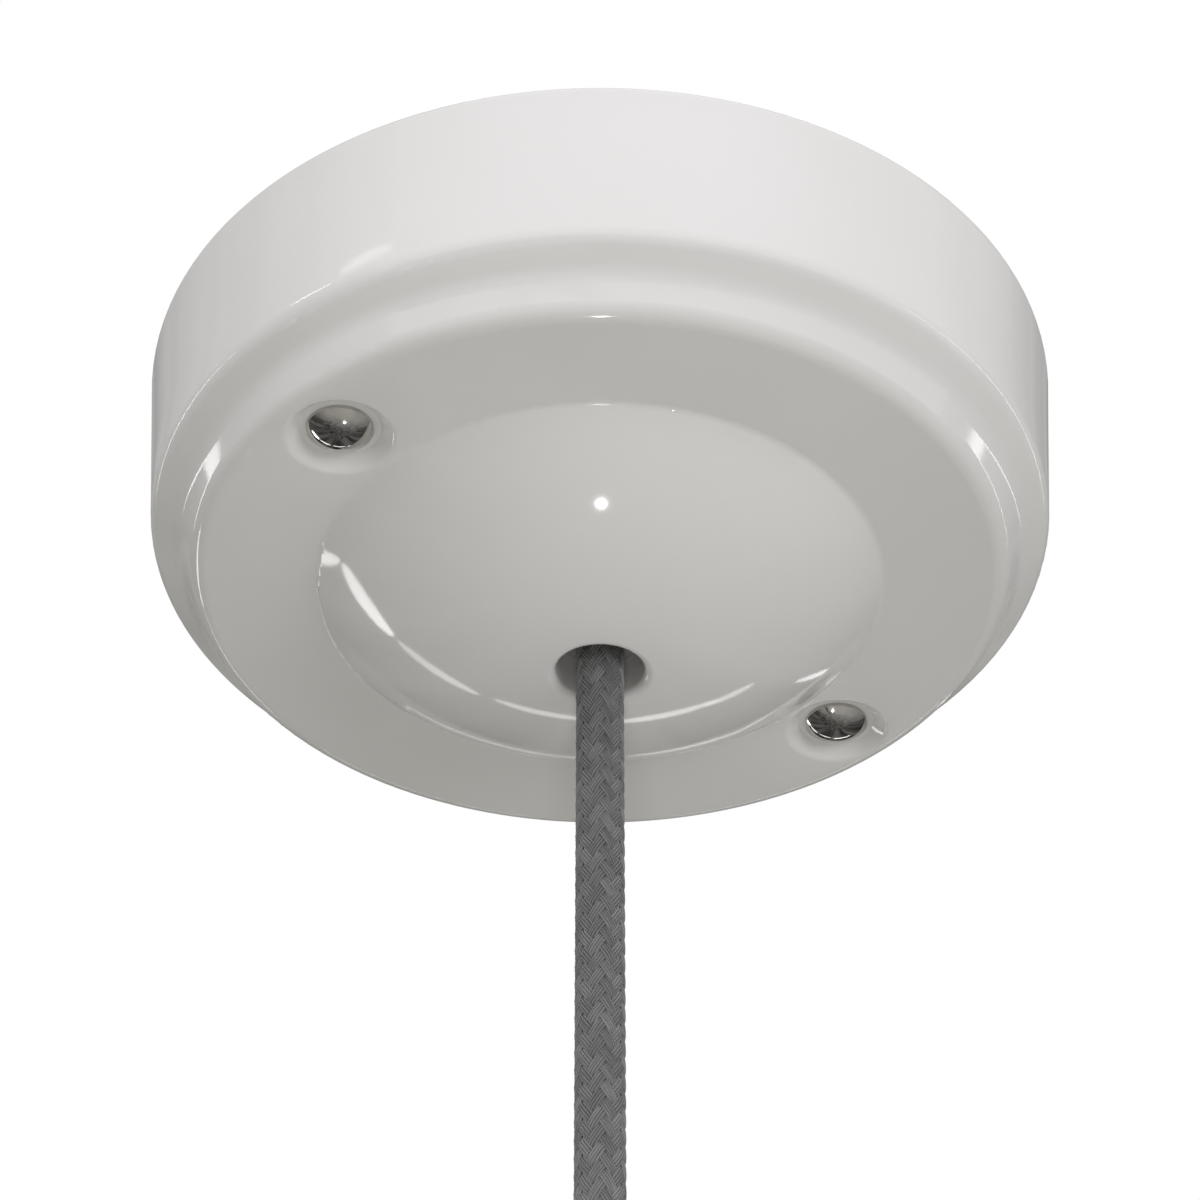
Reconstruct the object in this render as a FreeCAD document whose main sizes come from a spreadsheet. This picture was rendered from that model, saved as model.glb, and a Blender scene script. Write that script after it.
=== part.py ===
"""Porcelain ceiling rose with a braided pendant cord, wired to a terminal block on its ceiling bracket.

Millimetres. The ceiling is the plane z = 0 and the rose hangs below it. The axis of the cord is the Z axis,
and +X runs through the two fixing screws.
"""
import FreeCAD, Part
import math
import os
import Sketcher

SIZES = {
    # Porcelain rose, from the ceiling down.
    "rose_diameter": 117.0,
    "rose_drop": 30.4,
    "wall_draft": 3.8,
    "wall_thickness": 4.8,
    "rim_rounding": 1.0,
    "wall_edge_radius": 2.8,
    "shoulder_slope": 34.0,
    "shoulder_width": 1.9,
    "cove_radius": 4.6,
    "riser_slope": 64.0,
    "riser_width": 2.1,
    "face_edge_radius": 2.8,
    "face_thickness": 5.5,
    "inner_corner_radius": 9.0,
    "dome_diameter": 71.2,
    "dome_height": 13.8,
    "dome_thickness": 5.2,
    "dome_root_radius": 1.5,
    "bowl_edge_radius": 2.0,
    "cord_hole_diameter": 11.0,
    "cord_hole_lip": 1.1,
    "grip_land_diameter": 22.0,
    # Dished seats and bosses of the two fixing screws.
    "screw_spacing": 85.8,
    "dish_mouth_diameter": 14.0,
    "dish_depth": 1.65,
    "dish_slope": 45.0,
    "dish_rim_radius": 1.2,
    "dish_rim_slope": 5.0,
    "boss_diameter": 15.0,
    "boss_height": 5.0,
    "boss_draft": 3.0,
    "screw_hole_diameter": 4.8,
    # Fixing screws and the polished caps over their heads.
    "screw_diameter": 4.0,
    "screw_length": 25.0,
    "screw_slot_width": 1.0,
    "screw_slot_depth": 0.6,
    "screw_tip_chamfer": 0.4,
    "cap_diameter": 8.1,
    "cap_skirt": 0.5,
    "cap_crown": 1.7,
    "cap_wall": 0.4,
    "cap_clearance": 0.1,
    # Pressed steel bracket.
    "bracket_width": 20.0,
    "bracket_thickness": 2.0,
    "bracket_flat": 66.0,
    "joggle_run": 4.0,
    "joggle_drop": 5.0,
    "bend_radius": 1.5,
    "bracket_end": 4.1,
    "bracket_corner_radius": 9.0,
    "collar_diameter": 8.0,
    "collar_height": 2.5,
    "slot_spacing": 48.0,
    "slot_length": 11.0,
    "slot_width": 4.8,
    "supply_hole_diameter": 12.0,
    "ear_width": 16.0,
    "ear_corner_radius": 4.0,
    "ear_end": 6.0,
    "thread_gap": 0.05,
    "pass_gap": 0.2,
    # Slotted screws inside the rose: slot and rounding as parts of the height of the head.
    "slot_width_ratio": 0.4,
    "slot_depth_ratio": 0.45,
    "head_rounding_ratio": 0.3,
    # Earth terminal on the bracket.
    "earth_offset": 12.3,
    "earth_screw_diameter": 4.0,
    "earth_head_diameter": 7.0,
    "earth_head_height": 2.2,
    "earth_washer_diameter": 8.4,
    "earth_washer_thickness": 1.0,
    "earth_washer_cup": 0.6,
    "earth_washer_rim": 0.9,
    "earth_screw_length": 2.8,
    # Terminal block, its brass tubes and screws.
    "block_offset": 22.0,
    "block_depth": 18.0,
    "block_plate": 2.5,
    "pole_pitch": 14.0,
    "barrel_width": 8.4,
    "barrel_height": 8.0,
    "barrel_rounding": 2.6,
    "tower_diameter": 6.4,
    "tower_height": 4.0,
    "tube_diameter": 4.6,
    "tube_bore": 3.0,
    "tube_inset": 1.5,
    "tube_gap": 0.05,
    "clamp_spacing": 9.0,
    "terminal_screw_diameter": 2.6,
    "terminal_head_diameter": 3.8,
    "terminal_head_height": 1.8,
    "terminal_screw_length": 5.5,
    "block_screw_diameter": 3.0,
    "block_head_diameter": 5.0,
    "block_head_height": 2.0,
    "block_screw_length": 4.3,
    # Cord grip inside the dome.
    "grip_foot_diameter": 20.0,
    "grip_foot_height": 2.6,
    "grip_width": 19.0,
    "grip_depth": 6.0,
    "grip_height": 10.5,
    "grip_parting": 0.8,
    "grip_corner_radius": 1.5,
    "grip_screw_spacing": 13.0,
    "grip_screw_diameter": 3.0,
    "grip_screw_length": 11.0,
    "grip_head_diameter": 5.2,
    "grip_head_height": 2.0,
    "grip_gap": 0.05,
    # Braided cord and its two insulated cores.
    "cord_diameter": 6.0,
    "cord_stub": 1.6,
    "cord_drop": 134.0,
    "core_diameter": 2.2,
    "core_spread": 2.8,
    "core_rise": 6.5,
    "core_lead": 8.0,
    "tip_diameter": 1.2,
    "tip_length": 8.0,
    "sleeve_length": 13.0,
    "sleeve_wall": 0.5,
    "sleeve_overhang": 2.5,
    "sleeve_gap": 0.05,
    "tail_bend_start": 6.0,
    "tail_bend_end": 14.0,
    "tail_length": 22.0,
    "tail_spread": 6.4,
    "ferrule_diameter": 1.8,
    "ferrule_flare_diameter": 2.6,
    "ferrule_flare_length": 1.5,
    "ferrule_length": 9.0,
}

doc = FreeCAD.newDocument("ceiling_rose")
size = doc.addObject("Spreadsheet::Sheet", "size")
for row, (alias, number) in enumerate(SIZES.items(), start=1):
    size.set(f"A{row}", alias)
    size.set(f"B{row}", str(number))
    size.setAlias(f"B{row}", alias)
doc.recompute()


# Shared ways of drawing and placing. Two places nearer than NEAR are the same place, and SIGNS stands
# before an expression for a place and its mirror image.

NEAR = 1e-3
SIGNS = ("", "-")


def value(expression):
    """The number that an expression on the sheet's sizes gives."""
    found = size.evalExpression(expression)
    return float(getattr(found, "Value", found))


def bind(target, **properties):
    """Bind properties to expressions, with a double underscore for a dot in the property's path."""
    for path, expression in properties.items():
        target.setExpression(path.replace("__", "."), expression)


def move(target, x="0", y="0", z="0"):
    """Put an object's own origin at a place given by three expressions."""
    bind(target, Placement__Base__x=x, Placement__Base__y=y, Placement__Base__z=z)


def new_body(name):
    body = doc.addObject("PartDesign::Body", name)
    body.Label = name
    return body


def origin_plane(body, role):
    return next(found for found in body.Origin.OriginFeatures if found.Role == role)


def new_sketch(body, name, plane, x="0", y="0", z="0"):
    """A sketch on one of the body's own origin planes, shifted along the sketch's own axes."""
    sketch = body.newObject("Sketcher::SketchObject", name)
    sketch.AttachmentSupport = [(origin_plane(body, plane), "")]
    sketch.MapMode = "FlatFace"
    bind(sketch, AttachmentOffset__Base__x=x, AttachmentOffset__Base__y=y, AttachmentOffset__Base__z=z)
    return sketch


def fix_point(sketch, edge, end, x, y):
    """Hold one point of an edge at two expressions, measured from the sketch's origin."""
    for kind, expression in (("DistanceX", x), ("DistanceY", y)):
        index = sketch.addConstraint(Sketcher.Constraint(kind, -1, 1, edge, end, value(expression)))
        sketch.setExpression(f"Constraints[{index}]", expression)


def fix_radius(sketch, edge, radius):
    index = sketch.addConstraint(Sketcher.Constraint("Radius", edge, value(radius)))
    sketch.setExpression(f"Constraints[{index}]", radius)


def arc_between(start, end, radius, turn):
    """The short arc from start to end, which bends to the left or to the right as it goes."""
    chord = end - start
    half = chord.Length / 2
    across = FreeCAD.Vector(-chord.y, chord.x, 0).normalize()
    reach = math.sqrt(max(radius**2 - half**2, 0))
    side = 1 if turn == "left" else -1
    centre = (start + end) / 2 + across * reach * side
    first, last = (start, end) if turn == "left" else (end, start)
    angles = [math.atan2(point.y - centre.y, point.x - centre.x) for point in (first, last)]
    return Part.ArcOfCircle(Part.Circle(centre, FreeCAD.Vector(0, 0, 1), radius), *angles)


def draw_outline(sketch, points):
    """A closed outline of points (x, y), or (x, y, radius, turn) where an arc leads to the next point."""
    places = [FreeCAD.Vector(value(point[0]), value(point[1]), 0) for point in points]
    edges = []
    for index, point in enumerate(points):
        start = places[index]
        end = places[(index + 1) % len(points)]
        if len(point) == 2:
            edges.append((sketch.addGeometry(Part.LineSegment(start, end)), 1, 2))
            continue
        radius, turn = point[2:]
        ends = (1, 2) if turn == "left" else (2, 1)
        edges.append((sketch.addGeometry(arc_between(start, end, value(radius), turn)), *ends))
    for index, (edge, first, last) in enumerate(edges):
        following, following_first, _ = edges[(index + 1) % len(edges)]
        sketch.addConstraint(Sketcher.Constraint("Coincident", edge, last, following, following_first))
        fix_point(sketch, edge, first, *points[index][:2])
        if len(points[index]) > 2:
            fix_radius(sketch, edge, points[index][2])


def both_halves(half):
    """The right half of an outline, followed by its mirror image in the sketch's vertical axis."""
    image = []
    for index in reversed(range(len(half))):
        arc = half[index - 1][2:] if index else ()
        image.append((f"-({half[index][0]})", half[index][1], *arc))
    return half + image


def draw_circle(sketch, x, y, radius):
    """A circle whose centre and radius are expressions."""
    centre = FreeCAD.Vector(value(x), value(y), 0)
    edge = sketch.addGeometry(Part.Circle(centre, FreeCAD.Vector(0, 0, 1), value(radius)))
    fix_point(sketch, edge, 3, x, y)
    fix_radius(sketch, edge, radius)


def draw_slot(sketch, x, y, length, width):
    """A slot along the sketch's own x axis: two half circles with two lines tangent to both."""
    radius = value(f"({width}) / 2")
    reach = f"({length} - {width}) / 2"
    upright = FreeCAD.Vector(0, 0, 1)
    arcs = []
    for end, first_angle in ((f"{x} - {reach}", math.pi / 2), (f"{x} + {reach}", -math.pi / 2)):
        circle = Part.Circle(FreeCAD.Vector(value(end), value(y), 0), upright, radius)
        arc = sketch.addGeometry(Part.ArcOfCircle(circle, first_angle, first_angle + math.pi))
        fix_point(sketch, arc, 3, end, y)
        fix_radius(sketch, arc, f"({width}) / 2")
        arcs.append(arc)
    for before, after in (arcs, arcs[::-1]):
        start = sketch.Geometry[before].EndPoint
        line = sketch.addGeometry(Part.LineSegment(start, sketch.Geometry[after].StartPoint))
        sketch.addConstraint(Sketcher.Constraint("Tangent", before, 2, line, 1))
        sketch.addConstraint(Sketcher.Constraint("Tangent", line, 2, after, 1))


def revolve(body, name, sketch, kind="PartDesign::Revolution"):
    """Turn a sketch once round its own vertical axis."""
    feature = body.newObject(kind, name)
    feature.Profile = sketch
    feature.ReferenceAxis = (sketch, ["V_Axis"])
    feature.Angle = 360
    doc.recompute()
    return feature


def pad(body, name, sketch, length, reverse=False, middle=False):
    feature = body.newObject("PartDesign::Pad", name)
    feature.Profile = sketch
    feature.Reversed = reverse
    feature.Midplane = middle
    bind(feature, Length=length)
    doc.recompute()
    return feature


def pocket(body, name, sketch, length=None, reverse=False, middle=False):
    """Cut a sketch out of the body, right through where no length is given, and make sure that it cut."""
    before = body.Shape.Volume
    feature = body.newObject("PartDesign::Pocket", name)
    feature.Profile = sketch
    feature.Reversed = reverse
    feature.Midplane = middle
    if length is None:
        feature.Type = "ThroughAll"
    else:
        bind(feature, Length=length)
    doc.recompute()
    if body.Shape.Volume >= before:
        raise RuntimeError(f"{name} cuts nothing")
    return feature


def round_edges(body, name, radius, chosen):
    """Round the edges of the body that pass a test."""
    base = body.Tip
    names = [f"Edge{index}" for index, edge in enumerate(base.Shape.Edges, start=1) if chosen(edge)]
    feature = body.newObject("PartDesign::Fillet", name)
    feature.Base = (base, names)
    bind(feature, Radius=radius)
    doc.recompute()
    return feature


def mirrored(source, normal):
    """A second solid, the mirror image of the first in a plane through the origin."""
    image = doc.addObject("Part::Mirroring", f"{source.Name}_image")
    image.Source = source
    image.Normal = normal
    return image


def group(name, members):
    """Like pieces that share one node, each still a solid of its own."""
    node = doc.addObject("Part::Compound", name)
    node.Label = name
    node.Links = members
    return node


# The rose: one slip-cast porcelain shell, turned about the cord's axis. Its outside runs from the ceiling
# down a drafted wall, over a rounded edge onto a sloping shoulder, through a cove down a short riser, round
# the edge of the flat face and out again over the dome to the lip of the cord hole. Its inside follows at the
# wall's thickness, with a flat land for the cord grip. Slopes are measured from the level.

RIM_R = "size.rose_diameter / 2"
FACE_Z = "-size.rose_drop"
DRAFT = "size.wall_draft * 1deg"
SHOULDER = "size.shoulder_slope * 1deg"
RISER = "size.riser_slope * 1deg"

RISER_END_Z = f"({FACE_Z} + size.face_edge_radius * (1 - cos({RISER})))"
RISER_TOP_Z = f"({RISER_END_Z} + size.riser_width * sin({RISER}))"
SHOULDER_IN_Z = f"({RISER_TOP_Z} + size.cove_radius * (cos({SHOULDER}) - cos({RISER})))"
SHOULDER_OUT_Z = f"({SHOULDER_IN_Z} + size.shoulder_width * sin({SHOULDER}))"
WALL_END_Z = f"({SHOULDER_OUT_Z} + size.wall_edge_radius * (cos({SHOULDER}) - sin({DRAFT})))"

WALL_END_R = f"({RIM_R} + {WALL_END_Z} * tan({DRAFT}))"
SHOULDER_OUT_R = f"({WALL_END_R} - size.wall_edge_radius * (cos({DRAFT}) - sin({SHOULDER})))"
SHOULDER_IN_R = f"({SHOULDER_OUT_R} - size.shoulder_width * cos({SHOULDER}))"
RISER_TOP_R = f"({SHOULDER_IN_R} - size.cove_radius * (sin({RISER}) - sin({SHOULDER})))"
RISER_END_R = f"({RISER_TOP_R} - size.riser_width * cos({RISER}))"
FACE_END_R = f"({RISER_END_R} - size.face_edge_radius * sin({RISER}))"

RIM_ARC_R = f"({RIM_R} - size.rim_rounding * tan({DRAFT}) - size.rim_rounding / cos({DRAFT}))"
INNER_R = f"({RIM_R} - size.wall_thickness / cos({DRAFT}))"
INNER_RIM_R = f"({INNER_R} - size.rim_rounding * tan({DRAFT}) + size.rim_rounding / cos({DRAFT}))"

FLOOR_Z = f"({FACE_Z} + size.face_thickness)"
CORNER_Z = f"({FLOOR_Z} + size.inner_corner_radius)"
CORNER_R = f"({INNER_R} + {CORNER_Z} * tan({DRAFT}) - size.inner_corner_radius / cos({DRAFT}))"

BALL_R = "(((size.dome_diameter / 2) ^ 2 + size.dome_height ^ 2) / (2 * size.dome_height))"
BALL_Z = f"({FACE_Z} - size.dome_height + {BALL_R})"
BOWL_R = f"({BALL_R} - size.dome_thickness)"
HOLE_R = "size.cord_hole_diameter / 2"
LAND_R = "size.grip_land_diameter / 2"
LAND_Z = f"({BALL_Z} - sqrt({BOWL_R} ^ 2 - ({LAND_R}) ^ 2))"

LIP_R = f"({HOLE_R} + size.cord_hole_lip)"
LIP_DEPTH = f"sqrt(({BALL_R} - size.cord_hole_lip) ^ 2 - {LIP_R} ^ 2)"
LIP_SCALE = f"({BALL_R} / ({BALL_R} - size.cord_hole_lip))"

ROOT_Z = f"({FACE_Z} - size.dome_root_radius)"
ROOT_R = f"sqrt(({BALL_R} + size.dome_root_radius) ^ 2 - ({BALL_Z} - {ROOT_Z}) ^ 2)"
ROOT_SCALE = f"({BALL_R} / ({BALL_R} + size.dome_root_radius))"

BRIM_Z = f"({FLOOR_Z} - size.bowl_edge_radius)"
BRIM_R = f"sqrt(({BOWL_R} + size.bowl_edge_radius) ^ 2 - ({BALL_Z} - {BRIM_Z}) ^ 2)"
BRIM_SCALE = f"({BOWL_R} / ({BOWL_R} + size.bowl_edge_radius))"

SCREW_X = "size.screw_spacing / 2"
MOUTH_R = "size.dish_mouth_diameter / 2"
DISH = "size.dish_slope * 1deg"
DISH_RIM = "size.dish_rim_slope * 1deg"
CONE_R = f"({MOUTH_R} - size.dish_rim_radius * (sin({DISH}) - sin({DISH_RIM})))"
CONE_Z = f"({FACE_Z} + size.dish_rim_radius * (cos({DISH_RIM}) - cos({DISH})))"
SEAT_Z = f"({FACE_Z} + size.dish_depth)"
SEAT_R = f"({CONE_R} - ({SEAT_Z} - {CONE_Z}) / tan({DISH}))"
BOSS_Z = f"({FLOOR_Z} + size.boss_height)"

rose = new_body("rose_body")
rose_section = new_sketch(rose, "rose_section", "XZ_Plane")
draw_outline(rose_section, [
    (HOLE_R, LAND_Z),
    (HOLE_R, f"{BALL_Z} - {LIP_DEPTH}", "size.cord_hole_lip", "left"),
    (f"{LIP_R} * {LIP_SCALE}", f"{BALL_Z} - {LIP_DEPTH} * {LIP_SCALE}", BALL_R, "left"),
    (f"{ROOT_R} * {ROOT_SCALE}", f"{BALL_Z} - ({BALL_Z} - {ROOT_Z}) * {ROOT_SCALE}",
     "size.dome_root_radius", "right"),
    (ROOT_R, FACE_Z),
    (FACE_END_R, FACE_Z, "size.face_edge_radius", "left"),
    (RISER_END_R, RISER_END_Z),
    (RISER_TOP_R, RISER_TOP_Z, "size.cove_radius", "right"),
    (SHOULDER_IN_R, SHOULDER_IN_Z),
    (SHOULDER_OUT_R, SHOULDER_OUT_Z, "size.wall_edge_radius", "left"),
    (WALL_END_R, WALL_END_Z),
    (f"{RIM_ARC_R} + size.rim_rounding * cos({DRAFT})",
     f"-size.rim_rounding * (1 + sin({DRAFT}))", "size.rim_rounding", "left"),
    (RIM_ARC_R, "0"),
    (INNER_RIM_R, "0", "size.rim_rounding", "left"),
    (f"{INNER_RIM_R} - size.rim_rounding * cos({DRAFT})", f"-size.rim_rounding * (1 - sin({DRAFT}))"),
    (f"{CORNER_R} + size.inner_corner_radius * cos({DRAFT})",
     f"{CORNER_Z} - size.inner_corner_radius * sin({DRAFT})", "size.inner_corner_radius", "right"),
    (CORNER_R, FLOOR_Z),
    (BRIM_R, FLOOR_Z, "size.bowl_edge_radius", "left"),
    (f"{BRIM_R} * {BRIM_SCALE}", f"{BALL_Z} - ({BALL_Z} - {BRIM_Z}) * {BRIM_SCALE}", BOWL_R, "right"),
    (LAND_R, LAND_Z),
])
revolve(rose, "rose_shell", rose_section)

boss_section = new_sketch(rose, "boss_section", "XZ_Plane", x=SCREW_X)
BOSS_R = "size.boss_diameter / 2"
draw_outline(boss_section, [
    ("0", SEAT_Z),
    (BOSS_R, SEAT_Z),
    (f"{BOSS_R} - ({BOSS_Z} - {SEAT_Z}) * tan(size.boss_draft * 1deg)", BOSS_Z),
    ("0", BOSS_Z),
])
boss = revolve(rose, "screw_boss", boss_section)

dish_section = new_sketch(rose, "dish_section", "XZ_Plane", x=SCREW_X)
draw_outline(dish_section, [
    ("0", f"{BOSS_Z} + size.boss_height"),
    ("0", f"{FACE_Z} - size.dome_height"),
    (MOUTH_R, f"{FACE_Z} - size.dome_height"),
    (MOUTH_R, FACE_Z, "size.dish_rim_radius", "right"),
    (CONE_R, CONE_Z),
    (SEAT_R, SEAT_Z),
    ("size.screw_hole_diameter / 2", SEAT_Z),
    ("size.screw_hole_diameter / 2", f"{BOSS_Z} + size.boss_height"),
])
dish = revolve(rose, "screw_dish", dish_section, "PartDesign::Groove")

far_screw = rose.newObject("PartDesign::Mirrored", "far_screw_seat")
far_screw.Originals = [boss, dish]
far_screw.MirrorPlane = (origin_plane(rose, "YZ_Plane"), [""])
rose.Tip = far_screw
doc.recompute()


# Fixing screws: low domed heads with a slot, each hidden by a polished cap that is pressed over it. Heads
# point down, and a screw's own origin is the middle of its seat.

CAP_R = "size.cap_diameter / 2"
CAP_BALL_R = f"((({CAP_R}) ^ 2 + size.cap_crown ^ 2) / (2 * size.cap_crown))"
CAP_BALL_Z = f"({CAP_BALL_R} - size.cap_crown - size.cap_skirt)"
CAP_INNER_R = f"({CAP_R} - size.cap_wall)"
CAP_INNER_BALL_R = f"({CAP_BALL_R} - size.cap_wall)"
CAP_INNER_EDGE_Z = f"({CAP_BALL_Z} - sqrt({CAP_INNER_BALL_R} ^ 2 - {CAP_INNER_R} ^ 2))"
HEAD_R = f"({CAP_INNER_R} - size.cap_clearance)"
HEAD_BALL_R = f"({CAP_INNER_BALL_R} - size.cap_clearance)"
HEAD_LOW_Z = f"({CAP_BALL_Z} - {HEAD_BALL_R})"


def cut_slot(body, bottom, width, depth, reach):
    """A screwdriver slot across a head, from its lower face up."""
    sketch = new_sketch(body, f"{body.Name}_slot_outline", "XY_Plane", z=bottom)
    half = f"({width}) / 2"
    draw_outline(sketch, both_halves([(half, f"-{reach}"), (half, reach)]))
    pocket(body, f"{body.Name}_slot", sketch, depth, reverse=True)


def shank_points(diameter, length):
    """The outline of a plain shank from its seat up to its chamfered tip."""
    radius = f"{diameter} / 2"
    chamfer = "size.screw_tip_chamfer"
    return [
        (radius, "0"),
        (radius, f"{length} - {chamfer}"),
        (f"{radius} - {chamfer}", length),
        ("0", length),
    ]


fixing_screw = new_body("fixing_screw")
fixing_section = new_sketch(fixing_screw, "fixing_screw_section", "XZ_Plane")
draw_outline(fixing_section, [
    ("0", HEAD_LOW_Z, HEAD_BALL_R, "left"),
    (HEAD_R, f"{CAP_BALL_Z} - sqrt({HEAD_BALL_R} ^ 2 - {HEAD_R} ^ 2)"),
    (HEAD_R, "0"),
] + shank_points("size.screw_diameter", "size.screw_length"))
revolve(fixing_screw, "fixing_screw_turned", fixing_section)
cut_slot(fixing_screw, HEAD_LOW_Z, "size.screw_slot_width", "size.screw_slot_depth", CAP_R)
move(fixing_screw, SCREW_X, "0", SEAT_Z)
fixing_screws = group("fixing_screws", [fixing_screw, mirrored(fixing_screw, (1, 0, 0))])

screw_cap = new_body("screw_cap")
cap_section = new_sketch(screw_cap, "screw_cap_section", "XZ_Plane")
draw_outline(cap_section, [
    ("0", "-size.cap_skirt - size.cap_crown", CAP_BALL_R, "left"),
    (CAP_R, "-size.cap_skirt"),
    (CAP_R, "0"),
    (CAP_INNER_R, "0"),
    (CAP_INNER_R, CAP_INNER_EDGE_Z, CAP_INNER_BALL_R, "right"),
    ("0", "-size.cap_skirt - size.cap_crown + size.cap_wall"),
])
revolve(screw_cap, "screw_cap_spun", cap_section)
move(screw_cap, SCREW_X, "0", SEAT_Z)
screw_caps = group("screw_caps", [screw_cap, mirrored(screw_cap, (1, 0, 0))])


# Bracket: a pressed steel strap against the ceiling. Its ends are joggled down to leave room for the tips
# of the fixing screws, and an ear to one side carries the terminal block.

THICK = "size.bracket_thickness"
FLAT_X = "size.bracket_flat / 2"
FOOT_X = f"({FLAT_X} + size.joggle_run)"
END_X = f"({SCREW_X} + size.bracket_end)"
BEND_SHIFT = f"({THICK} * tan(atan(size.joggle_drop / size.joggle_run) / 2))"
DROP_Z = "-size.joggle_drop"
BLOCK_Y = "size.block_offset"
EARTH_X = "-size.earth_offset"

bracket = new_body("mounting_bracket")
strap_outline = new_sketch(bracket, "strap_outline", "XZ_Plane")
draw_outline(strap_outline, both_halves([
    (FLAT_X, "0"),
    (FOOT_X, DROP_Z),
    (END_X, DROP_Z),
    (END_X, f"{DROP_Z} - {THICK}"),
    (f"{FOOT_X} - {BEND_SHIFT}", f"{DROP_Z} - {THICK}"),
    (f"{FLAT_X} - {BEND_SHIFT}", f"-{THICK}"),
]))
pad(bracket, "strap", strap_outline, "size.bracket_width", middle=True)


def runs_across(edge):
    """An edge of the strap along Y, as its bends are."""
    box = edge.BoundBox
    return abs(box.YLength - value("size.bracket_width")) < NEAR and box.XLength < NEAR


def is_outer_bend(edge):
    places = ((value(FLAT_X), 0), (value(f"{FOOT_X} - {BEND_SHIFT}"), value(f"{DROP_Z} - {THICK}")))
    centre = edge.BoundBox.Center
    return runs_across(edge) and any(math.hypot(abs(centre.x) - x, centre.z - z) < NEAR for x, z in places)


def is_inner_bend(edge):
    places = ((value(FOOT_X), value(DROP_Z)), (value(f"{FLAT_X} - {BEND_SHIFT}"), -value(THICK)))
    centre = edge.BoundBox.Center
    return runs_across(edge) and any(math.hypot(abs(centre.x) - x, centre.z - z) < NEAR for x, z in places)


def is_strap_corner(edge):
    """A short upright edge at an end of the strap."""
    box = edge.BoundBox
    upright = box.XLength < NEAR and box.YLength < NEAR
    return upright and abs(abs(box.Center.x) - value(END_X)) < NEAR


round_edges(bracket, "outer_bends", f"size.bend_radius + {THICK}", is_outer_bend)
round_edges(bracket, "inner_bends", "size.bend_radius", is_inner_bend)
round_edges(bracket, "strap_corners", "size.bracket_corner_radius", is_strap_corner)

ear_outline = new_sketch(bracket, "ear_outline", "XY_Plane")
EAR_X = "size.ear_width / 2"
EAR_Y = f"({BLOCK_Y} + size.ear_end)"
EAR_CORNER = "size.ear_corner_radius"
draw_outline(ear_outline, both_halves([
    (EAR_X, "0"),
    (EAR_X, f"{EAR_Y} - {EAR_CORNER}", EAR_CORNER, "left"),
    (f"{EAR_X} - {EAR_CORNER}", EAR_Y),
]))
pad(bracket, "ear", ear_outline, THICK, reverse=True)

collar_outline = new_sketch(bracket, "collar_outline", "XY_Plane", z=f"{DROP_Z} - {THICK}")
for side in SIGNS:
    draw_circle(collar_outline, f"{side}{SCREW_X}", "0", "size.collar_diameter / 2")
pad(bracket, "thread_collars", collar_outline, "size.collar_height", reverse=True)

hole_outline = new_sketch(bracket, "hole_outline", "XY_Plane")
draw_circle(hole_outline, "0", "0", "size.supply_hole_diameter / 2")
draw_circle(hole_outline, EARTH_X, "0", "size.earth_screw_diameter / 2 + size.thread_gap")
draw_circle(hole_outline, "0", BLOCK_Y, "size.block_screw_diameter / 2 + size.thread_gap")
for side in SIGNS:
    draw_circle(hole_outline, f"{side}{SCREW_X}", "0", "size.screw_diameter / 2 + size.thread_gap")
    draw_slot(hole_outline, f"{side}size.slot_spacing / 2", "0", "size.slot_length", "size.slot_width")
pocket(bracket, "bracket_holes", hole_outline)


# Earth terminal: a slotted screw and a cup washer on the underside of the strap.


def slotted_screw(name, diameter, length, head_diameter, head_height):
    """A screw with a round slotted head below its seat and a shank above it."""
    body = new_body(name)
    sketch = new_sketch(body, f"{name}_section", "XZ_Plane")
    radius = f"{head_diameter} / 2"
    rounding = f"({head_height} * size.head_rounding_ratio)"
    draw_outline(sketch, [
        ("0", f"-{head_height}"),
        (f"{radius} - {rounding}", f"-{head_height}", rounding, "left"),
        (radius, f"-{head_height} + {rounding}"),
        (radius, "0"),
    ] + shank_points(diameter, length))
    revolve(body, f"{name}_turned", sketch)
    width = f"{head_height} * size.slot_width_ratio"
    depth = f"{head_height} * size.slot_depth_ratio"
    cut_slot(body, f"-{head_height}", width, depth, head_diameter)
    return body


earth_screw = slotted_screw("earth_screw", "size.earth_screw_diameter", "size.earth_screw_length",
                            "size.earth_head_diameter", "size.earth_head_height")
move(earth_screw, EARTH_X, "0", f"-{THICK} - size.earth_washer_thickness")

earth_washer = new_body("earth_washer")
washer_section = new_sketch(earth_washer, "earth_washer_section", "XZ_Plane")
WASHER_R = "size.earth_washer_diameter / 2"
WASHER_HOLE_R = "(size.earth_screw_diameter / 2 + size.pass_gap)"
draw_outline(washer_section, [
    (WASHER_HOLE_R, "-size.earth_washer_thickness"),
    (WASHER_R, "-size.earth_washer_thickness"),
    (WASHER_R, "0"),
    (f"{WASHER_R} - size.earth_washer_rim", "0"),
    (f"{WASHER_R} - size.earth_washer_rim", "-size.earth_washer_cup"),
    (WASHER_HOLE_R, "-size.earth_washer_cup"),
])
revolve(earth_washer, "earth_washer_pressed", washer_section)
move(earth_washer, EARTH_X, "0", f"-{THICK}")


# Terminal block: a moulded two-pole body under the ear, with a brass tube in each barrel and two clamping
# screws to a tube. Its own origin is the middle of its upper face.

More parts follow.
